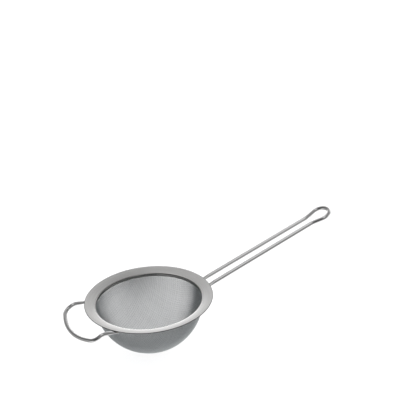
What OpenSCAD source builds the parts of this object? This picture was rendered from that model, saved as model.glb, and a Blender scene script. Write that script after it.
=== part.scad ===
// Wire-handled tea strainer with a wide conical rim.
// The rim's outer edge lies in the plane z = 0, the bowl hangs below it, and the handle points along +X.

/* [Rim] */
// Outer diameter of the rim
rim_d = 97; // [90:1:110]
// Clear diameter inside the rim's collar
lip_d = 80; // [76:1:82]
// Slope of the conical flange, in degrees
rim_slope = 10.5; // [8:0.5:18]
// Thickness of the rim's sheet
sheet_t = 0.5; // [0.4:0.1:0.8]
// Radius of the rolled inner lip, on its top surface
lip_r = 0.8; // [0.7:0.1:1.4]
// Height of the straight collar below the rolled lip
collar_h = 1.7; // [1.6:0.1:3]

/* [Bowl] */
// Depth of the mesh bowl below the rim's outer edge
bowl_depth = 40.7; // [34:0.1:44]
// Thickness of the woven mesh
mesh_t = 0.4; // [0.3:0.1:0.6]
// Height of the straight hem of mesh that the band clamps
hem_h = 1.7; // [1.4:0.1:2]
// Height of the clamping band
band_h = 1.5; // [1.2:0.1:1.6]
// Thickness of the clamping band
band_t = 0.5; // [0.4:0.1:0.8]

/* [Wire] */
// Diameter of the handle's wire and the rest's wire
wire_d = 3; // [2.5:0.1:3.4]

/* [Handle] */
// Length of the handle from the rim's edge to its far end, along the slope
handle_l = 111.5; // [90:0.5:150]
// Rise of the handle above the rim's plane, in degrees
handle_rise = 14.8; // [12:0.1:18]
// Distance between the two legs at the rim
leg_gap = 10.5; // [9:0.5:14]
// Distance between the two legs at the neck of the hanging loop
neck_gap = 9.2; // [8:0.1:12]
// Width of the hanging loop, between wire centres
loop_w = 14.2; // [13:0.1:18]
// Angle at which the legs spread into the hanging loop
flare = 15; // [10:1:25]

/* [Rest loop] */
// Distance between the two legs of the rest loop
rest_w = 52; // [44:1:56]
// Distance from the bowl's axis to the bend where the rest turns down
rest_bend_x = 50.2; // [49:0.2:54]
// Distance from the bowl's axis to the corners of the rest loop
rest_corner_x = 57.6; // [56:0.2:60]
// Distance from the bowl's axis to the meeting point of the two outer runs
rest_nose_x = 69.7; // [67:0.1:72]
// Downward slope of the rest loop, in degrees
rest_drop = 23.9; // [15:0.1:28]

/* [Hidden] */

$fn = 180;
bead_fn = 24;
// Sides of a bent wire's section, and degrees of bend between its rings
wire_sides = 20;
bend_step = 6;
rim_r = rim_d / 2;
wire_r = wire_d / 2;

// Rolled lip: the roll's centre sits one lip radius outside the collar's inner face.
collar_r = lip_d / 2;
roll_x = collar_r + lip_r;
roll_z = -(lip_r + (rim_r - roll_x) * sin(rim_slope)) / cos(rim_slope);
collar_z = roll_z - collar_h;
sheet_rise = sheet_t / cos(rim_slope);
lip_steps = 12;

// Mesh: a straight hem outside the collar, then a part of a sphere through the neck and the bottom.
hem_r = collar_r + sheet_t;
neck_r = hem_r + mesh_t / 2;
neck_drop = bowl_depth + collar_z;
bowl_r = (neck_r * neck_r + neck_drop * neck_drop) / (2 * neck_drop);
bowl_z = bowl_r - bowl_depth;
hem_lap = 0.3;
band_r = hem_r + mesh_t;
band_z = collar_z - hem_lap / 2;
band_edge = 0.12;

// Under the flange the wires are pressed flat: thinner and wider. Beyond the rim's edge they turn round again.
press_thin = 0.62;
press_wide = 1.25;
press_edge = rim_r + 0.3;
press_end = press_edge + 4.5;
seat_gap = 0.02;

// Both wires lie close under the flange, so this is the height of their centres at the rim's edge.
seat_z = -(sheet_t + wire_r * press_thin + seat_gap) / cos(rim_slope);
leg_inset = 5.4;
seat_bend_r = 16;
bend_r = 16;
loop_r = loop_w / 2;
rest_bend_r = 8;
rest_corner_r = 6.8;
rest_nose_r = 46.5;
rest_y = rest_w / 2;
rest_edge_x = sqrt(rim_r * rim_r - rest_y * rest_y);
rest_seat_slope = atan(tan(rim_slope) * rest_edge_x / rim_r);
rest_bend_z = seat_z + (rest_bend_x - rest_edge_x) * tan(rest_seat_slope);

// Weld beads: short rounded runs of weld metal in the groove between a wire and the flange.
bead_r = 0.5;
bead_steps = 5;
bead_side = 1.85;
bead_sink = 0.3;

steel = [0.78, 0.77, 0.75];
bright_wire = [0.84, 0.84, 0.84];
woven_grey = [0.56, 0.58, 0.59];
weld_grey = [0.6, 0.59, 0.57];

function unit(v) = v / norm(v);
function reversed(list) = [for (i = [len(list) - 1 : -1 : 0]) list[i]];

// Height of the flange's top and of its underside at distance r from the axis.
function flange_z(r) = (r - rim_r) * tan(rim_slope);
function under_flange(r) = flange_z(r) - sheet_rise;

// Interior angle of the path at corner i.
function corner_angle(path, i) =
    acos(unit(path[i - 1] - path[i]) * unit(path[i + 1] - path[i]));

// Points of the round bend at corner i, from the end of one straight run to the start of the next.
function bend_points(path, radius, i) =
    let (
        back = unit(path[i - 1] - path[i]),
        ahead = unit(path[i + 1] - path[i]),
        half = corner_angle(path, i) / 2,
        centre = path[i] + unit(back + ahead) * radius / sin(half),
        start = unit(path[i] + back * radius / tan(half) - centre),
        sweep = 180 - 2 * half,
        steps = ceil(sweep / bend_step)
    )
    [for (k = [0 : steps])
        centre + radius * (start * cos(sweep * k / steps) - back * sin(sweep * k / steps))];

// Centre line of a wire: straight runs between the ends of round bends.
function wire_line(path, bends) =
    let (last = len(path) - 1)
    concat(
        [path[0]],
        [for (i = [1 : last - 1]) each bend_points(path, bends[i - 1], i)],
        [path[last]]
    );

// The line without points that repeat the one before.
function thinned(line) = [
    for (i = [0 : len(line) - 1])
        if (i == 0 || norm(line[i] - line[i - 1]) > 0.01) line[i]
];

// Distance of a point from the axis.
function reach(p) = norm([p.x, p.y]);

// How far a wire is pressed flat at a point: 1 under the flange, 0 where it is round.
function pressed(p) = min(max((press_end - reach(p)) / (press_end - press_edge), 0), 1);

// Points where the straight run from a to b crosses distance r from the axis.
function crossings(a, b, r) =
    let (
        flat = [a.x, a.y],
        run = [b.x - a.x, b.y - a.y],
        square = run * run,
        dot = flat * run,
        root = dot * dot - square * (flat * flat - r * r)
    )
    square < 0.000001 || root < 0 ? [] : [
        for (sign = [-1, 1])
            let (t = (sign * sqrt(root) - dot) / square)
            if (t > 0.001 && t < 0.999) a + t * (b - a)
    ];

// The line with a point more wherever the pressed part begins or ends.
function with_press_points(line) = concat(
    [for (i = [0 : len(line) - 2])
        let (
            near = crossings(line[i], line[i + 1], press_edge),
            far = crossings(line[i], line[i + 1], press_end),
            outward = reach(line[i + 1]) > reach(line[i])
        )
        each concat([line[i]], outward ? near : far, outward ? far : near)],
    [line[len(line) - 1]]
);

// Ring of points about point i of the line, square to the line there. No wire here runs straight up.
function ring(line, i, d) =
    let (
        last = len(line) - 1,
        into = i == 0 ? line[1] - line[0] : line[i] - line[i - 1],
        out_of = i == last ? into : line[i + 1] - line[i],
        along = unit(unit(into) + unit(out_of)),
        side = unit(cross([0, 0, 1], along)),
        up = cross(along, side),
        press = pressed(line[i]),
        wide = d / 2 * (1 + (press_wide - 1) * press),
        thin = d / 2 * (1 - (1 - press_thin) * press)
    )
    [for (k = [0 : wire_sides - 1])
        line[i] + wide * side * cos(360 * k / wire_sides) + thin * up * sin(360 * k / wire_sides)];

// Round wire along a path of straight runs, with a round bend at each inner corner.
module bent_wire(path, bends, d) {
    line = thinned(with_press_points(wire_line(path, bends)));
    rings = len(line);
    n = wire_sides;
    polyhedron(
        points = [for (i = [0 : rings - 1]) each ring(line, i, d)],
        faces = concat(
            [[for (k = [0 : n - 1]) k]],
            [for (i = [0 : rings - 2], k = [0 : n - 1])
                [i * n + k, (i + 1) * n + k, (i + 1) * n + (k + 1) % n]],
            [for (i = [0 : rings - 2], k = [0 : n - 1])
                [i * n + k, (i + 1) * n + (k + 1) % n, i * n + (k + 1) % n]],
            [[for (k = [n - 1 : -1 : 0]) (rings - 1) * n + k]]
        )
    );
}

// A half path on the +Y side, followed by its mirror image back to the start.
function other_side(half) = [for (point = reversed(half)) [point.x, -point.y, point.z]];

// Point of the handle's plane: along the slope from the rim's edge, and to the side.
function on_handle(along, side) = [
    rim_r + along * cos(handle_rise),
    side,
    seat_z + along * sin(handle_rise)
];

// Rounded bead of weld under the flange, along X from x1 to x2.
module weld_bead(x1, x2, y) {
    from = [x1, y, under_flange(norm([x1, y])) - bead_sink];
    to = [x2, y, under_flange(norm([x2, y])) - bead_sink];
    run = to - from;
    low_end = [for (k = [0 : bead_steps]) bead_r * [sin(90 * k / bead_steps), -cos(90 * k / bead_steps)]];
    high_end = [for (end = reversed(low_end)) [end.x, norm(run) - end.y]];
    translate(from)
        rotate([0, acos(run.z / norm(run)), atan2(run.y, run.x)])
            rotate_extrude($fn = bead_fn) polygon(concat(low_end, high_end));
}

// Points of the rolled lip's arc, from the flange (0) to the collar (1), at distance r from its centre.
function lip_arc(r) = [
    for (k = [0 : lip_steps])
        let (angle = 90 + rim_slope + (90 - rim_slope) * k / lip_steps)
        [roll_x + r * cos(angle), roll_z + r * sin(angle)]
];

// Section of the rim: the flange's top, the lip, the collar, and back along the underside.
module rim_profile() {
    polygon(concat(
        [[rim_r, 0]],
        lip_arc(lip_r),
        [[collar_r, collar_z], [collar_r + sheet_t, collar_z]],
        reversed(lip_arc(lip_r - sheet_t)),
        [[rim_r, -sheet_rise]]
    ));
}

module rim_flange() {
    color(steel) rotate_extrude() rim_profile();
}

module mesh_bowl() {
    color(woven_grey) rotate_extrude() {
        translate([hem_r, collar_z - hem_lap]) square([mesh_t, hem_h + hem_lap]);
        intersection() {
            translate([0, bowl_z]) difference() {
                circle(r = bowl_r);
                circle(r = bowl_r - mesh_t);
            }
            translate([0, -bowl_depth]) square([rim_r, neck_drop]);
        }
    }
}

module clamping_band() {
    outline = [
        [band_edge, 0],
        [band_t - band_edge, 0],
        [band_t, band_edge],
        [band_t, band_h - band_edge],
        [band_t - band_edge, band_h],
        [band_edge, band_h],
        [0, band_h - band_edge],
        [0, band_edge]
    ];
    color(steel) rotate_extrude() translate([band_r, band_z]) polygon(outline);
}

module handle_wire() {
    loop_at = handle_l - wire_r - loop_r;
    tip = [loop_at + loop_r, loop_r * tan(45 + flare / 2)];
    taper = (leg_gap - neck_gap) / 2 / loop_at;
    spread = (tip.y - leg_gap / 2 - tip.x * tan(flare)) / (-taper - tan(flare));
    half = [
        [rim_r - leg_inset, leg_gap / 2 + leg_inset * taper, seat_z - leg_inset * tan(rim_slope)],
        on_handle(0, leg_gap / 2),
        on_handle(spread, leg_gap / 2 - spread * taper),
        on_handle(tip.x, tip.y)
    ];
    color(bright_wire) bent_wire(
        concat(half, other_side(half)),
        [seat_bend_r, bend_r, loop_r, loop_r, bend_r, seat_bend_r],
        wire_d
    );
}

module rest_loop() {
    corner_z = rest_bend_z - (rest_corner_x - rest_bend_x) * tan(rest_drop);
    nose_z = rest_bend_z - (rest_nose_x - rest_bend_x) * tan(rest_drop);
    half = [
        [-rest_edge_x + leg_inset, rest_y, seat_z - leg_inset * tan(rest_seat_slope)],
        [-rest_bend_x, rest_y, rest_bend_z],
        [-rest_corner_x, rest_y, corner_z]
    ];
    color(bright_wire) bent_wire(
        concat(half, [[-rest_nose_x, 0, nose_z]], other_side(half)),
        [rest_bend_r, rest_corner_r, rest_nose_r, rest_corner_r, rest_bend_r],
        wire_d
    );
}

module handle_welds() {
    color(weld_grey)
        for (side = [-1, 1], edge = [-1, 1])
            weld_bead(rim_r - leg_inset + 1, rim_r - 1.5, side * leg_gap / 2 + edge * bead_side);
}

module rest_welds() {
    color(weld_grey)
        for (side = [-1, 1], edge = [-1, 1])
            weld_bead(-rest_edge_x + leg_inset - 1, -rest_edge_x + 1.5, side * rest_y + edge * bead_side);
}

rim_flange();
mesh_bowl();
clamping_band();
handle_wire();
rest_loop();
handle_welds();
rest_welds();
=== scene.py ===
"""Tea strainer of stainless steel: a satin rim, a woven wire bowl, a long wire handle and a wire rest."""

import math

import bmesh
import bpy
import numpy as np
from mathutils import Matrix, Vector, noise


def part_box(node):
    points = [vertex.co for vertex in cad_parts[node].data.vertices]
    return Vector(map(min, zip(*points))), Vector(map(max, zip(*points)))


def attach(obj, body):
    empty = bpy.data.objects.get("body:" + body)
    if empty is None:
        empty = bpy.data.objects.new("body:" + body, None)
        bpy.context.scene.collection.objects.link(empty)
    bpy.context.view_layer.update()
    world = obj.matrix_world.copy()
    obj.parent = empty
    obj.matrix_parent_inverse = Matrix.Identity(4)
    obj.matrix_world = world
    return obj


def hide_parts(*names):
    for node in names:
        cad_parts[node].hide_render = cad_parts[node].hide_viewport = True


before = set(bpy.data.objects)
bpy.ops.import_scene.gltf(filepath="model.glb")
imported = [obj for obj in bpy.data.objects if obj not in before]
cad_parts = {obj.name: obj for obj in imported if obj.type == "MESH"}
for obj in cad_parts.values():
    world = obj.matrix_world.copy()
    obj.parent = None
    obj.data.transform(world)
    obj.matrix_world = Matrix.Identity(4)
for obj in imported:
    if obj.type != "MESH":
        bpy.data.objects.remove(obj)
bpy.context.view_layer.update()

MM = 0.001


# ---- Sizes ----------------------------------------------------------------------------------

rim_low, rim_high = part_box("rim_flange")
bowl_low, bowl_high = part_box("mesh_bowl")
band_low, band_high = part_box("clamping_band")

# The rim is a sheet cone that rolls over a lip into a short upright collar.
RIM_R = rim_high.y
SLOPE = math.radians(10.5)
SHEET = 0.5 * MM
UPRIGHT_SHEET = SHEET / math.cos(SLOPE)
LIP_R = 0.8 * MM
COLLAR_R = 40 * MM
COLLAR_Z = rim_low.z
COLLAR_OUT_R = COLLAR_R + SHEET
ROLL_X = COLLAR_R + LIP_R
ROLL_Z = -(LIP_R + (RIM_R - ROLL_X) * math.sin(SLOPE)) / math.cos(SLOPE)
RIM_SOFTENING = 0.14 * MM

BAND_R = band_high.x
BAND_T = 0.5 * MM
BAND_SOFTENING = 0.12 * MM

# The cloth is two families of strands, pressed to a ball and turned up into a straight hem. A strand is
# level for a share PLATEAU of a cell to each side of a crossing. The net reaches NET_SPAN radians each way.
PITCH = 0.8 * MM
STRAND_R = 0.17 * MM
STRAND_SIDES = 4
PLATEAU = 0.2
CLOTH_T = 0.4 * MM
CLOTH_TURN = math.radians(31)
NET_SPAN = 1.62
BOWL_BOTTOM = bowl_low.z
HEM_TOP = bowl_high.z - 0.1 * MM
NECK_R = COLLAR_OUT_R + CLOTH_T / 2
NECK_DROP = COLLAR_Z - BOWL_BOTTOM
BOWL_R = (NECK_R ** 2 + NECK_DROP ** 2) / (2 * NECK_DROP)
BOWL_Z = BOWL_R + BOWL_BOTTOM
CLOTH_R = BOWL_R - 2 * STRAND_R
TURN_UP_LOW = COLLAR_Z - 0.6 * MM
TURN_UP_HIGH = COLLAR_Z - 0.05 * MM

# Both wires are round, and pressed flat and wide where they lie under the flange. A press of 1 makes them
# PRESS_THIN as high and PRESS_WIDE as wide as they were.
WIRE_R = 1.499 * MM
WIRE_SIDES = 28
WIRE_CHAMFER = 0.18 * MM
BEND_STEP = math.radians(2.5)
PRESS_THIN = 0.62
PRESS_WIDE = 1.25
PRESS_EDGE = RIM_R + 0.3 * MM
PRESS_END = PRESS_EDGE + 4.5 * MM
SEAT_GAP = 0.02 * MM
SEAT_INSET = 5.4 * MM
SEAT_Z = -(SHEET + WIRE_R * PRESS_THIN + SEAT_GAP) / math.cos(SLOPE)

HANDLE_LENGTH = 111.5 * MM
HANDLE_RISE = math.radians(14.8)
HANDLE_LEG_Y = 5.25 * MM
HANDLE_NECK_Y = 4.6 * MM
HANDLE_BEND_R = 16 * MM
LOOP_R = 7.1 * MM
LOOP_FLARE = math.radians(15)

REST_Y = 26 * MM
REST_EDGE_X = math.sqrt(RIM_R ** 2 - REST_Y ** 2)
REST_BEND_X = 50.2 * MM
REST_CORNER_X = 57.55 * MM
REST_NOSE_X = 69.58 * MM
REST_DROP = math.radians(23.9)
REST_BEND_R = 8 * MM
REST_CORNER_R = 6.8 * MM
REST_NOSE_R = 46.5 * MM

# A weld bead runs along each side of each leg, in the groove under the flange.
BEAD_R = 0.5 * MM
BEAD_SIDE = 1.85 * MM
BEAD_SINK = 0.3 * MM
BEAD_INNER = SEAT_INSET - 1 * MM
BEAD_OUTER = 1.5 * MM


# ---- Shader expressions ---------------------------------------------------------------------

class Value:
    """Something that varies over a surface. Arithmetic on a number adds Math nodes."""

    def __init__(self, recipe, socket):
        self.recipe = recipe
        self.socket = socket

    def __add__(self, other):
        return self.recipe.maths("ADD", self, other)

    __radd__ = __add__

    def __sub__(self, other):
        return self.recipe.maths("SUBTRACT", self, other)

    def __rsub__(self, other):
        return self.recipe.maths("SUBTRACT", other, self)

    def __mul__(self, other):
        return self.recipe.maths("MULTIPLY", self, other)

    __rmul__ = __mul__

    def __truediv__(self, other):
        return self.recipe.maths("DIVIDE", self, other)


class Recipe:
    """A node tree that is written as expressions."""

    def __init__(self, tree):
        self.tree = tree
        tree.nodes.clear()

    def node(self, kind, settings=None, sockets=None):
        """A node of any kind: its settings are set first, then its sockets get values or links."""
        made = self.tree.nodes.new(kind)
        for name, setting in (settings or {}).items():
            setattr(made, name, setting)
        for name, given in (sockets or {}).items():
            if isinstance(given, Value):
                self.tree.links.new(given.socket, made.inputs[name])
            else:
                made.inputs[name].default_value = given
        return made

    def value(self, made, output=0):
        return Value(self, made.outputs[output])

    def maths(self, operation, *numbers):
        made = self.node("ShaderNodeMath", {"operation": operation}, dict(enumerate(numbers)))
        return self.value(made)

    def step(self, number, start, end):
        """A smooth step from 0 at start to 1 at end, in either direction."""
        made = self.node(
            "ShaderNodeMapRange",
            {"interpolation_type": "SMOOTHSTEP"},
            {"Value": number, "From Min": start, "From Max": end},
        )
        return self.value(made, "Result")

    def vector(self, x, y, z):
        return self.value(self.node("ShaderNodeCombineXYZ", None, {"X": x, "Y": y, "Z": z}))

    def split(self, vector):
        made = self.node("ShaderNodeSeparateXYZ", None, {"Vector": vector})
        return [self.value(made, axis) for axis in "XYZ"]

    def grain(self, place, scale, detail=2.0, roughness=0.5):
        """Noise from 0 to 1 at a place."""
        made = self.node(
            "ShaderNodeTexNoise",
            None,
            {"Vector": place, "Scale": scale, "Detail": detail, "Roughness": roughness},
        )
        return self.value(made, "Fac")

    def blend(self, share, first, second):
        """Colour between two colours. 0, 6 and 7 are a colour Mix node's share and its two colours."""
        made = self.node("ShaderNodeMix", {"data_type": "RGBA"}, {0: share, 6: first, 7: second})
        return self.value(made, 2)


class Finish(Recipe):
    """A material with one Principled shader."""

    def __init__(self, name):
        self.material = bpy.data.materials.new(name)
        self.material.use_nodes = True
        super().__init__(self.material.node_tree)
        self.place = self.value(self.node("ShaderNodeTexCoord"), "Object")

    def attribute(self, name, output):
        return self.value(self.node("ShaderNodeAttribute", {"attribute_name": name}), output)

    def about_axis(self):
        """Distance from the strainer's axis, the direction from the axis as x and y, and the height."""
        x, y, z = self.split(self.place)
        radius = self.maths("SQRT", x * x + y * y)
        return radius, (x / radius, y / radius), z

    def surface(self, bump=None, **sockets):
        """The material, from the Principled shader's sockets and, where the surface has relief, a Bump's."""
        wanted = {name.replace("_", " "): given for name, given in sockets.items()}
        if bump:
            wanted["Normal"] = self.value(self.node("ShaderNodeBump", None, bump))
        shader = self.node("ShaderNodeBsdfPrincipled", None, wanted)
        out = self.node("ShaderNodeOutputMaterial")
        self.tree.links.new(shader.outputs[0], out.inputs["Surface"])
        return self.material


# ---- Finishes -------------------------------------------------------------------------------

def satin_rim_steel():
    """Turned, brushed sheet: fine rings round it, a polished lip, painted shade on the collar wall under the
    lip, and a rougher cut edge darkened partly as painted shade.
    """
    steel = Finish("satin_rim_steel")
    radius, (ring_x, ring_y), _ = steel.about_axis()
    fine = steel.grain(steel.vector(ring_x * 1.2, ring_y * 1.2, radius * 4200), 1.0, 3.0, 0.6)
    broad = steel.grain(steel.vector(ring_x * 2.0, ring_y * 2.0, radius * 900), 1.0, 2.0)
    cloud = steel.grain(steel.place, 60.0, 3.0)
    brushed = steel.step(radius, ROLL_X - 0.1 * MM, ROLL_X + 0.3 * MM)
    # Painted shade: the collar wall and the foot of the lip are darkened, standing in for the shadow and
    # dark reflection under the lip.
    painted_wall_shade = steel.step(radius, COLLAR_R + 0.62 * MM, COLLAR_R + 0.42 * MM)
    # The cut edge is rougher, as a real dull cut edge. Its colour is darkened nearly to black, partly for
    # the dull edge and partly as painted shade along the rim's outer edge.
    dull_and_shaded_edge = steel.step(radius, RIM_R - 0.36 * MM, RIM_R - 0.22 * MM)
    shade = fine * 0.4 + broad * 0.4 + cloud * 0.2
    sheet = steel.blend(shade, (0.63, 0.624, 0.608, 1), (0.96, 0.953, 0.935, 1))
    sheet_with_wall_shade = steel.blend(painted_wall_shade, sheet, (0.40, 0.395, 0.385, 1))
    return steel.surface(
        bump={"Height": (fine * 0.7 + broad * 0.3) * brushed, "Strength": 0.35, "Distance": 0.04 * MM},
        Base_Color=steel.blend(dull_and_shaded_edge, sheet_with_wall_shade, (0.10, 0.098, 0.095, 1)),
        Roughness=0.10 + brushed * (0.17 + fine * 0.10 + cloud * 0.05) + dull_and_shaded_edge * 0.15,
        Metallic=1.0,
        Anisotropic=0.5,
        Anisotropic_Rotation=0.25,
    )


def drawn_wire_steel():
    """Bright drawn wire: faint lines along it and a few dull patches."""
    steel = Finish("drawn_wire_steel")
    around_x, around_y, along = steel.split(steel.attribute("unrolled", "Vector"))
    lines = steel.grain(steel.vector(around_x * 9, around_y * 9, along * 60), 1.0, 3.0, 0.6)
    patches = steel.grain(steel.place, 180.0, 3.0)
    shade = lines * 0.5 + patches * 0.5
    return steel.surface(
        bump={"Height": lines, "Strength": 0.15, "Distance": 0.03 * MM},
        Base_Color=steel.blend(shade, (0.66, 0.657, 0.65, 1), (0.88, 0.877, 0.87, 1)),
        Roughness=0.03 + lines * 0.06 + patches * 0.06,
        Metallic=1.0,
    )


def woven_wire_steel():
    """The cloth's fine wire, greyer and duller than the handle, and a little different on each strand."""
    steel = Finish("woven_wire_steel")
    patches = steel.grain(steel.place, 90.0, 2.0)
    shade = patches * 0.35 + steel.attribute("tone", "Fac") * 0.65
    return steel.surface(
        Base_Color=steel.blend(shade, (0.45, 0.472, 0.478, 1), (0.80, 0.826, 0.833, 1)),
        Roughness=0.34 + patches * 0.10,
        Metallic=1.0,
    )


def band_steel():
    """Plain rolled strip, with faint lines round it."""
    steel = Finish("band_steel")
    _, (ring_x, ring_y), height = steel.about_axis()
    lines = steel.grain(steel.vector(ring_x * 1.2, ring_y * 1.2, height * 9000), 1.0, 2.0)
    return steel.surface(
        bump={"Height": lines, "Strength": 0.2, "Distance": 0.03 * MM},
        Base_Color=steel.blend(lines, (0.50, 0.49, 0.475, 1), (0.66, 0.65, 0.635, 1)),
        Roughness=0.25 + lines * 0.12,
        Metallic=1.0,
    )


def weld_metal():
    """Dull lumpy weld metal, with a straw heat tint in places."""
    steel = Finish("weld_metal")
    lumps = steel.grain(steel.place, 1500.0, 4.0, 0.6)
    tint = steel.step(steel.grain(steel.place, 700.0, 2.0), 0.45, 0.7)
    return steel.surface(
        bump={"Height": lumps, "Strength": 0.6, "Distance": 0.2 * MM},
        Base_Color=steel.blend(tint, (0.36, 0.35, 0.34, 1), (0.42, 0.37, 0.30, 1)),
        Roughness=0.42 + lumps * 0.25,
        Metallic=1.0,
    )


def pale_floor():
    """Smooth matt white board."""
    board = Finish("pale_floor")
    grain = board.grain(board.place, 900.0, 2.0)
    return board.surface(
        Base_Color=board.blend(grain, (0.90, 0.90, 0.90, 1), (0.93, 0.93, 0.93, 1)),
        Roughness=0.8,
        Specular_IOR_Level=0.1,
    )


# ---- Mesh helpers ---------------------------------------------------------------------------

def make_piece(name, shape, material, smooth_angle=40):
    """The bmesh as a piece of the strainer, smooth across shallow edges."""
    mesh = bpy.data.meshes.new(name)
    limit = math.radians(smooth_angle)
    for face in shape.faces:
        face.smooth = True
    for edge in shape.edges:
        if edge.is_manifold and edge.calc_face_angle(0) > limit:
            edge.smooth = False
    shape.to_mesh(mesh)
    shape.free()
    piece = bpy.data.objects.new(name, mesh)
    bpy.context.scene.collection.objects.link(piece)
    mesh.materials.append(material)
    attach(piece, "root")
    return piece


def spun_ring(section, steps):
    """A closed section, as (radius, height) points, spun a full turn about the axis."""
    shape = bmesh.new()
    corners = [shape.verts.new((r, 0, z)) for r, z in section]
    edges = [shape.edges.new((corners[i - 1], corners[i])) for i in range(len(corners))]
    bmesh.ops.spin(
        shape,
        geom=corners + edges,
        cent=(0, 0, 0),
        axis=(0, 0, 1),
        angle=2 * math.pi,
        steps=steps,
        use_merge=True,
    )
    bmesh.ops.remove_doubles(shape, verts=shape.verts, dist=0.0001 * MM)
    bmesh.ops.recalc_face_normals(shape, faces=shape.faces)
    return shape


def soften(shape, corners, width, near=0.002 * MM):
    """Bevels the circular edges that pass through these (radius, height) corners."""
    found = []
    for edge in shape.edges:
        places = [(math.hypot(v.co.x, v.co.y), v.co.z) for v in edge.verts]
        for r, z in corners:
            if all(abs(a - r) < near and abs(b - z) < near for a, b in places):
                found.append(edge)
    bmesh.ops.bevel(
        shape,
        geom=found,
        offset=width,
        offset_type="OFFSET",
        affect="EDGES",
        segments=3,
        profile=0.5,
        material=-1,
    )


def straight_rod(stations, sides, shelf_x=0.0):
    """A closed upright rod of radius 1 at x = shelf_x, with a ring at each whole height from 0."""
    rod = bmesh.new()
    bmesh.ops.create_cone(
        rod, cap_ends=True, cap_tris=False, segments=sides, radius1=1, radius2=1, depth=stations - 1
    )
    upright = [e for e in rod.edges if abs(e.verts[0].co.z - e.verts[1].co.z) > 0.5]
    if stations > 2:
        bmesh.ops.subdivide_edges(rod, edges=upright, cuts=stations - 2, use_grid_fill=True)
    bmesh.ops.translate(rod, verts=rod.verts, vec=(shelf_x, 0, (stations - 1) / 2))
    return rod


# ---- Rim and band ---------------------------------------------------------------------------

def lip_arc(radius, steps=10):
    """Section of the rolled lip, from the flange down to the collar."""
    start, end = math.pi / 2 + SLOPE, math.pi
    turns = [start + (end - start) * k / steps for k in range(steps + 1)]
    return [(ROLL_X + radius * math.cos(turn), ROLL_Z + radius * math.sin(turn)) for turn in turns]


def make_rim(material):
    top_edge = (RIM_R, 0.0)
    low_edge = (RIM_R, -UPRIGHT_SHEET)
    collar_in = (COLLAR_R, COLLAR_Z)
    collar_out = (COLLAR_OUT_R, COLLAR_Z)
    upper = [top_edge] + lip_arc(LIP_R) + [collar_in]
    lower = [collar_out] + lip_arc(LIP_R - SHEET)[::-1] + [low_edge]
    shape = spun_ring(upper + lower, 288)
    soften(shape, [top_edge, low_edge, collar_in, collar_out], RIM_SOFTENING)
    rim = make_piece("rim_disc", shape, material)
    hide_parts("rim_flange")


def make_band(material):
    """The strip that clamps the cloth's hem to the collar."""
    inner = BAND_R - BAND_T
    low, high = band_low.z, band_high.z
    corners = [(inner, low), (BAND_R, low), (BAND_R, high), (inner, high)]
    shape = spun_ring(corners, 240)
    soften(shape, corners, BAND_SOFTENING)
    band = make_piece("hem_band", shape, material)
    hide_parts("clamping_band")


# ---- Woven bowl -----------------------------------------------------------------------------

def unit(vectors):
    return vectors / np.linalg.norm(vectors, axis=1)[:, None]


def pressed_quarter(reach):
    """A quarter of the net on a ball of radius 1. Every cell keeps its sides' length, and shears."""
    step = 2 * math.asin(PITCH / 2 / CLOTH_R)
    quarter = np.zeros((reach + 1, reach + 1, 3))
    for k in range(reach + 1):
        quarter[k, 0] = (math.sin(k * step), 0, -math.cos(k * step))
        quarter[0, k] = (0, math.sin(k * step), -math.cos(k * step))
    for i in range(1, reach + 1):
        for j in range(1, reach + 1):
            # A cell's fourth corner mirrors its first across the plane through the other two.
            first, second, third = quarter[i - 1, j - 1], quarter[i - 1, j], quarter[i, j - 1]
            across = np.cross(second, third)
            length = np.linalg.norm(across)
            if length < 1e-9:
                quarter[i, j] = second
                continue
            across /= length
            quarter[i, j] = first - 2 * np.dot(first, across) * across
    return quarter


def pressed_net():
    """Crossings of the cloth once it is pressed over a ball of radius 1, and its half width in cells."""
    reach = math.ceil(NET_SPAN * CLOTH_R / PITCH)
    quarter = pressed_quarter(reach)
    net = np.zeros((2 * reach + 1, 2 * reach + 1, 3))
    for sx in (1, -1):
        for sy in (1, -1):
            for i in range(reach + 1):
                net[reach + sx * i, reach + sy * np.arange(reach + 1)] = quarter[i] * (sx, sy, 1)
    turn = np.array(Matrix.Rotation(CLOTH_TURN, 3, "Z"))
    return net @ turn.T, reach


def seated(points):
    """Points of the ball, put in their place, with the top turned up into the hem, and their hem share."""
    placed = points * CLOTH_R + np.array((0, 0, BOWL_Z))
    share = np.clip((placed[:, 2] - TURN_UP_LOW) / (TURN_UP_HIGH - TURN_UP_LOW), 0, 1)
    share = share * share * (3 - 2 * share)
    radius = np.hypot(placed[:, 0], placed[:, 1])
    wanted = radius + (NECK_R - radius) * share
    placed[:, 0] *= wanted / radius.clip(1e-9)
    placed[:, 1] *= wanted / radius.clip(1e-9)
    return placed, share


def strand_line(row, parity):
    """Stations of one strand: two for each crossing, on the flat of its wave, cut at the hem's top."""
    inside = row[:, 2] * CLOTH_R + BOWL_Z < HEM_TOP
    if inside.sum() < 3:
        return None
    first = int(np.argmax(inside))
    last = int(len(inside) - 1 - np.argmax(inside[::-1]))
    places, waves = [], []
    for k in range(first, last + 1):
        for neighbour in (max(k - 1, 0), min(k + 1, len(row) - 1)):
            places.append(row[k] + (row[neighbour] - row[k]) * PLATEAU)
            waves.append(1.0 if (k + parity) % 2 else -1.0)
    return unit(np.array(places)), np.array(waves)


def rods_on_shelves(lines, shelf_gap):
    """One mesh with a straight rod for each strand, side by side along X."""
    gathered = bmesh.new()
    single = bpy.data.meshes.new("strand")
    for shelf, (places, waves) in enumerate(lines):
        rod = straight_rod(len(places), STRAND_SIDES, shelf * shelf_gap)
        rod.to_mesh(single)
        rod.free()
        gathered.from_mesh(single)
    bpy.data.meshes.remove(single)
    cloth = bpy.data.meshes.new("cloth")
    gathered.to_mesh(cloth)
    gathered.free()
    return cloth


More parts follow.
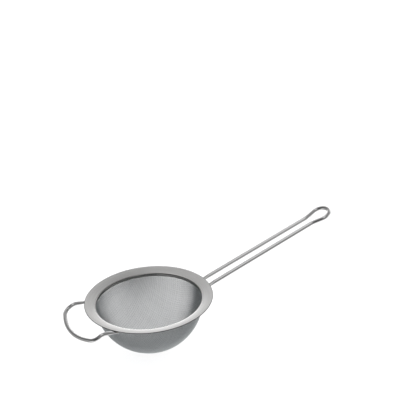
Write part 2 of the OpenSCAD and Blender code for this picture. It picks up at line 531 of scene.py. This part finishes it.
def strand_frames(lines):
    """At every station of every strand: its centre, and the directions across it and out of the cloth."""
    balls = np.concatenate([places for places, waves in lines])
    lifts = np.concatenate([waves for places, waves in lines])
    centres, hemmed = seated(balls)
    normals = balls.copy()
    normals[:, 2] *= 1 - hemmed
    normals = unit(normals)
    height = STRAND_R * (1 - 0.5 * hemmed)
    centres = centres + normals * (lifts * height)[:, None]
    along = np.zeros_like(centres)
    start = 0
    for places, waves in lines:
        stretch = slice(start, start + len(places))
        along[stretch] = np.gradient(centres[stretch], axis=0)
        start += len(places)
    along = unit(along)
    side = unit(np.cross(along, normals))
    return centres, side, np.cross(side, along)


def weave(name, strands, direction, material):
    """One piece of cloth, from strands that run one way."""
    lines = [line for line in strands if line]
    shelf_gap = 4.0
    cloth = rods_on_shelves(lines, shelf_gap)
    straight = np.zeros(len(cloth.vertices) * 3)
    cloth.vertices.foreach_get("co", straight)
    straight = straight.reshape(-1, 3)
    shelf = np.round(straight[:, 0] / shelf_gap).astype(int)
    starts = np.cumsum([0] + [len(places) for places, waves in lines])
    at = starts[shelf] + np.round(straight[:, 2]).astype(int)
    out_side = (straight[:, 0] - shelf * shelf_gap)[:, None]
    out_up = straight[:, 1][:, None]
    centres, side, up = strand_frames(lines)
    bent = centres[at] + STRAND_R * (side[at] * out_side + up[at] * out_up)
    cloth.vertices.foreach_set("co", bent.ravel())
    chance = np.random.default_rng(11 + direction).random(len(lines))
    tones = 0.55 * (np.arange(len(lines)) % 2) + 0.35 * chance + 0.05
    cloth.attributes.new("tone", "FLOAT", "POINT").data.foreach_set("value", tones[shelf])
    cloth.update()
    shape = bmesh.new()
    shape.from_mesh(cloth)
    bpy.data.meshes.remove(cloth)
    bmesh.ops.recalc_face_normals(shape, faces=shape.faces)
    piece = make_piece(name, shape, material, 100)
    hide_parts("mesh_bowl")


def make_bowl(material):
    """The cloth in four pieces: the strands of each direction, in two halves."""
    net, reach = pressed_net()
    for direction, run in enumerate(("warp", "weft")):
        rows = net if direction == 0 else net.swapaxes(0, 1)
        strands = [strand_line(row, i + direction) for i, row in enumerate(rows)]
        weave("bowl_" + run + "_left", strands[:reach + 1], direction, material)
        weave("bowl_" + run + "_right", strands[reach + 1:], direction, material)


# ---- Bent wires -----------------------------------------------------------------------------

def bend_points(path, radius, i):
    """The round bend at point i of a path of straight runs."""
    back = (path[i - 1] - path[i]).normalized()
    ahead = (path[i + 1] - path[i]).normalized()
    half = math.acos(max(-1, min(1, back.dot(ahead)))) / 2
    centre = path[i] + (back + ahead).normalized() * (radius / math.sin(half))
    start = (path[i] + back * (radius / math.tan(half)) - centre).normalized()
    sweep = math.pi - 2 * half
    steps = max(2, math.ceil(sweep / BEND_STEP))
    return [
        centre + radius * (start * math.cos(sweep * k / steps) - back * math.sin(sweep * k / steps))
        for k in range(steps + 1)
    ]


def wire_line(path, bends):
    """The path with a round bend at each inner point, and no two points almost together."""
    line = [path[0]]
    for i, radius in enumerate(bends, start=1):
        line += bend_points(path, radius, i)
    line.append(path[-1])
    kept = [line[0]]
    for point in line[1:]:
        if (point - kept[-1]).length > 0.02 * MM:
            kept.append(point)
    return kept


def pressed(point):
    """1 where a wire is pressed flat under the flange, 0 where it is round."""
    share = (PRESS_END - math.hypot(point.x, point.y)) / (PRESS_END - PRESS_EDGE)
    return min(max(share, 0), 1)


def with_press_points(line, steps=6):
    """The line with more points where the wire turns from flat to round."""
    marks = [PRESS_EDGE + (PRESS_END - PRESS_EDGE) * k / steps for k in range(steps + 1)]
    filled = [line[0]]
    for a, b in zip(line, line[1:]):
        near, far = math.hypot(a.x, a.y), math.hypot(b.x, b.y)
        if abs(far - near) > 0.2 * MM:
            passed = [(mark - near) / (far - near) for mark in marks]
            filled += [a.lerp(b, share) for share in sorted(passed) if 0.02 < share < 0.98]
        filled.append(b)
    return filled


def with_cut_ends(line):
    """The line and its radii, with a small chamfer at each cut end."""
    first = line[0] + (line[1] - line[0]).normalized() * WIRE_CHAMFER
    last = line[-1] + (line[-2] - line[-1]).normalized() * WIRE_CHAMFER
    points = [line[0], first] + line[1:-1] + [last, line[-1]]
    radii = [WIRE_R] * len(points)
    radii[0] = radii[-1] = WIRE_R - WIRE_CHAMFER
    return points, radii


def wire_frames(points, radii):
    """At each point: its place, the wire's half width and half height there, and the length so far."""
    frames, run = [], 0.0
    for i, point in enumerate(points):
        into = (point - points[i - 1]).normalized() if i else (points[1] - point).normalized()
        out_of = (points[i + 1] - point).normalized() if i < len(points) - 1 else into
        along = (into + out_of).normalized()
        side = Vector((0, 0, 1)).cross(along).normalized()
        run += (point - points[i - 1]).length if i else 0.0
        press = pressed(point)
        wide = side * (radii[i] * (1 + (PRESS_WIDE - 1) * press))
        thin = along.cross(side) * (radii[i] * (1 - (1 - PRESS_THIN) * press))
        frames.append((point, wide, thin, run))
    return frames


def bent_wire(name, path, bends, material):
    """A straight rod bent along the path. It keeps its unrolled places for the drawn lines."""
    points, radii = with_cut_ends(with_press_points(wire_line(path, bends)))
    frames = wire_frames(points, radii)
    rod = straight_rod(len(points), WIRE_SIDES)
    layer = rod.verts.layers.float_vector.new("unrolled")
    for vert in rod.verts:
        point, wide, thin, run = frames[round(vert.co.z)]
        x, y = vert.co.x, vert.co.y
        vert[layer] = (x, y, run)
        vert.co = point + wide * x + thin * y
    bmesh.ops.recalc_face_normals(rod, faces=rod.faces)
    piece = make_piece(name, rod, material, 35)
    return piece


def there_and_back(half, middle=()):
    """A path along one leg, through the middle points and back along the mirrored leg."""
    return half + list(middle) + [Vector((p.x, -p.y, p.z)) for p in half[::-1]]


def on_handle(along, side):
    """A place on the handle's rising plane, measured from the rim's edge."""
    return Vector((RIM_R + along * math.cos(HANDLE_RISE), side, SEAT_Z + along * math.sin(HANDLE_RISE)))


def make_handle(material):
    """Two legs that close in slowly, then flare into the hanging loop."""
    loop_at = HANDLE_LENGTH - WIRE_R - LOOP_R
    tip_along = loop_at + LOOP_R
    tip_side = LOOP_R * math.tan(math.radians(45) + LOOP_FLARE / 2)
    taper = (HANDLE_LEG_Y - HANDLE_NECK_Y) / loop_at
    flare = math.tan(LOOP_FLARE)
    neck_along = (tip_side - HANDLE_LEG_Y - tip_along * flare) / (-taper - flare)
    seat_z = SEAT_Z - SEAT_INSET * math.tan(SLOPE)
    half = [
        Vector((RIM_R - SEAT_INSET, HANDLE_LEG_Y + SEAT_INSET * taper, seat_z)),
        on_handle(0, HANDLE_LEG_Y),
        on_handle(neck_along, HANDLE_LEG_Y - neck_along * taper),
        on_handle(tip_along, tip_side),
    ]
    bends = [HANDLE_BEND_R, HANDLE_BEND_R, LOOP_R, LOOP_R, HANDLE_BEND_R, HANDLE_BEND_R]
    handle = bent_wire("handle_rod", there_and_back(half), bends, material)
    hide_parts("handle_wire")


def make_rest(material):
    """Two legs that follow the flange out and then drop, joined by a slightly bowed nose."""
    seat_slope = math.tan(SLOPE) * REST_EDGE_X / RIM_R
    drop = math.tan(REST_DROP)
    bend_z = SEAT_Z + (REST_BEND_X - REST_EDGE_X) * seat_slope
    half = [
        Vector((-REST_EDGE_X + SEAT_INSET, REST_Y, SEAT_Z - SEAT_INSET * seat_slope)),
        Vector((-REST_BEND_X, REST_Y, bend_z)),
        Vector((-REST_CORNER_X, REST_Y, bend_z - (REST_CORNER_X - REST_BEND_X) * drop)),
    ]
    nose = Vector((-REST_NOSE_X, 0, bend_z - (REST_NOSE_X - REST_BEND_X) * drop))
    bends = [REST_BEND_R, REST_CORNER_R, REST_NOSE_R, REST_CORNER_R, REST_BEND_R]
    rest = bent_wire("rest_rod", there_and_back(half, [nose]), bends, material)
    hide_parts("rest_loop")


# ---- Welds ----------------------------------------------------------------------------------

def under_flange(x, y):
    return (math.hypot(x, y) - RIM_R) * math.tan(SLOPE) - UPRIGHT_SHEET


def add_bead(shape, start_x, end_x, y, seed):
    """A lumpy rounded run of weld metal, from start_x to end_x, in the groove beside a wire."""
    start = Vector((start_x, y, under_flange(start_x, y) - BEAD_SINK))
    end = Vector((end_x, y, under_flange(end_x, y) - BEAD_SINK))
    run = end - start
    turn = Vector((1, 0, 0)).rotation_difference(run).to_matrix()
    ball = bmesh.ops.create_icosphere(shape, subdivisions=4, radius=BEAD_R)["verts"]
    for vert in ball:
        lump = noise.noise(vert.co * 1800 + Vector((seed * 7.3, 0, 0)))
        vert.co *= 0.93 + 0.16 * lump
        ripple = 1 + 0.06 * math.sin(vert.co.x * 26000)
        pull = math.copysign(run.length / 2, vert.co.x) * min(1, abs(vert.co.x) / (0.12 * MM))
        drawn_out = Vector((vert.co.x + pull, vert.co.y * ripple, vert.co.z * ripple))
        vert.co = (start + end) / 2 + turn @ drawn_out


def make_welds(material):
    """Four beads for each wire, from near its ends to just short of the rim's edge."""
    handle_run = (RIM_R - BEAD_INNER, RIM_R - BEAD_OUTER)
    rest_run = (BEAD_INNER - REST_EDGE_X, BEAD_OUTER - REST_EDGE_X)
    for name, node, leg_y, (start_x, end_x), first_seed in (
        ("handle_weld_beads", "handle_welds", HANDLE_LEG_Y, handle_run, 17),
        ("rest_weld_beads", "rest_welds", REST_Y, rest_run, 15),
    ):
        shape = bmesh.new()
        places = [leg * leg_y + side * BEAD_SIDE for leg in (-1, 1) for side in (-1, 1)]
        for seed, y in enumerate(places, start=first_seed):
            add_bead(shape, start_x, end_x, y, seed)
        bmesh.ops.recalc_face_normals(shape, faces=shape.faces)
        beads = make_piece(name, shape, material, 60)
        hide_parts(node)


# ---- Stage ----------------------------------------------------------------------------------

def make_floor(material):
    """A wide board just under the bowl. The steel doesn't reflect it: the dome stands in for it."""
    shape = bmesh.new()
    bmesh.ops.create_grid(shape, x_segments=2, y_segments=2, size=4)
    bmesh.ops.translate(shape, verts=shape.verts, vec=(0, 0, BOWL_BOTTOM - 0.05 * MM))
    mesh = bpy.data.meshes.new("floor")
    shape.to_mesh(mesh)
    shape.free()
    floor = bpy.data.objects.new("floor", mesh)
    bpy.context.scene.collection.objects.link(floor)
    mesh.materials.append(material)
    floor.visible_glossy = False


def paint_dome():
    """The room that the steel reflects: bright low down at the back, dim in front, pale board below."""
    world = bpy.data.worlds.new("studio")
    world.use_nodes = True
    bpy.context.scene.world = world
    dome = Recipe(world.node_tree)
    x, y, z = dome.split(dome.value(dome.node("ShaderNodeTexCoord"), "Generated"))
    above = dome.step(z, -0.06, 0.02)
    back = dome.step(y, -0.15, 0.35)
    left = dome.step(x * -1, 0.0, 0.34)
    # The sky: a bright horizon at the back, and a pale panel overhead that ends at a slant.
    high = dome.step(z, 0.0, 0.88)
    low = 1 - dome.step(z, 0.0, 0.42)
    panel = (1 - dome.step(x * 0.967 + z * 0.2554, 0.27, 0.42)) * dome.step(z, 0.42, 0.62)
    panel = panel * (1 - dome.step(y, 0.55, 0.80))
    rear_sky = 0.84 - high * 0.54 + low * 1.55
    front_sky = 0.16 + high * 0.16
    sky = (front_sky + back * (rear_sky - front_sky) + panel * 0.42) * (1 - left * 0.80)
    # The board: greyer at the back, and dark in front except straight below.
    dark = dome.step(y * -1, 0.45, 0.70) * dome.step(z, -0.78, -0.60)
    board = (1.10 - back * 0.56 - dark * 0.90) * (1 - left * 0.30)
    level = board + (sky - board) * above
    tinted = {"Red": level, "Green": level, "Blue": level * 1.01}
    shade = dome.value(dome.node("ShaderNodeCombineColor", None, tinted))
    light = dome.node("ShaderNodeBackground", None, {"Color": shade, "Strength": 1.0})
    out = dome.node("ShaderNodeOutputWorld")
    dome.tree.links.new(light.outputs[0], out.inputs["Surface"])


def add_sun(name, place, energy, **settings):
    """A sun that lights the scene but isn't seen in the steel."""
    light = bpy.data.lights.new(name, "SUN")
    light.energy = energy
    for key, setting in settings.items():
        setattr(light, key, setting)
    sun = bpy.data.objects.new(name, light)
    sun.location = place
    sun.rotation_mode = "QUATERNION"
    sun.rotation_quaternion = (Vector((0.02, 0, -0.01)) - Vector(place)).to_track_quat("-Z", "Y")
    sun.visible_glossy = False
    bpy.context.scene.collection.objects.link(sun)


def light_studio():
    paint_dome()
    add_sun("top_sun", (0.1, 0.1, 1.5), 0.35, angle=math.radians(100))
    add_sun("floor_fill", (0, 0.1, 1.5), 2.7, use_shadow=False)


def set_camera():
    """A long lens, well back, in front of the strainer, above it and a little to the rest's side."""
    azimuth, elevation, roll = (math.radians(a) for a in (-23.6164, 29.2658, -5.668))
    aim_right, aim_up, distance = 38.624, 74.323, 2500
    back = Vector(
        (
            math.sin(azimuth) * math.cos(elevation),
            -math.cos(azimuth) * math.cos(elevation),
            math.sin(elevation),
        )
    )
    level = Vector((math.cos(azimuth), math.sin(azimuth), 0))
    above = back.cross(level)
    right = math.cos(roll) * level + math.sin(roll) * above
    up = -math.sin(roll) * level + math.cos(roll) * above
    lens = bpy.data.cameras.new("camera")
    lens.lens = 300.2
    lens.sensor_width = 36
    lens.clip_start = 0.1
    lens.clip_end = 20
    camera = bpy.data.objects.new("camera", lens)
    pose = Matrix((right, up, back)).transposed().to_4x4()
    pose.translation = (aim_right * right + aim_up * up + distance * back) * MM
    camera.matrix_world = pose
    bpy.context.scene.collection.objects.link(camera)
    bpy.context.scene.camera = camera
    bpy.context.scene.view_settings.view_transform = "Standard"


# ---- Assembly -------------------------------------------------------------------------------

set_camera()
light_studio()
make_floor(pale_floor())
make_rim(satin_rim_steel())
make_band(band_steel())
make_bowl(woven_wire_steel())
bright = drawn_wire_steel()
make_handle(bright)
make_rest(bright)
make_welds(weld_metal())

bpy.context.view_layer.update()
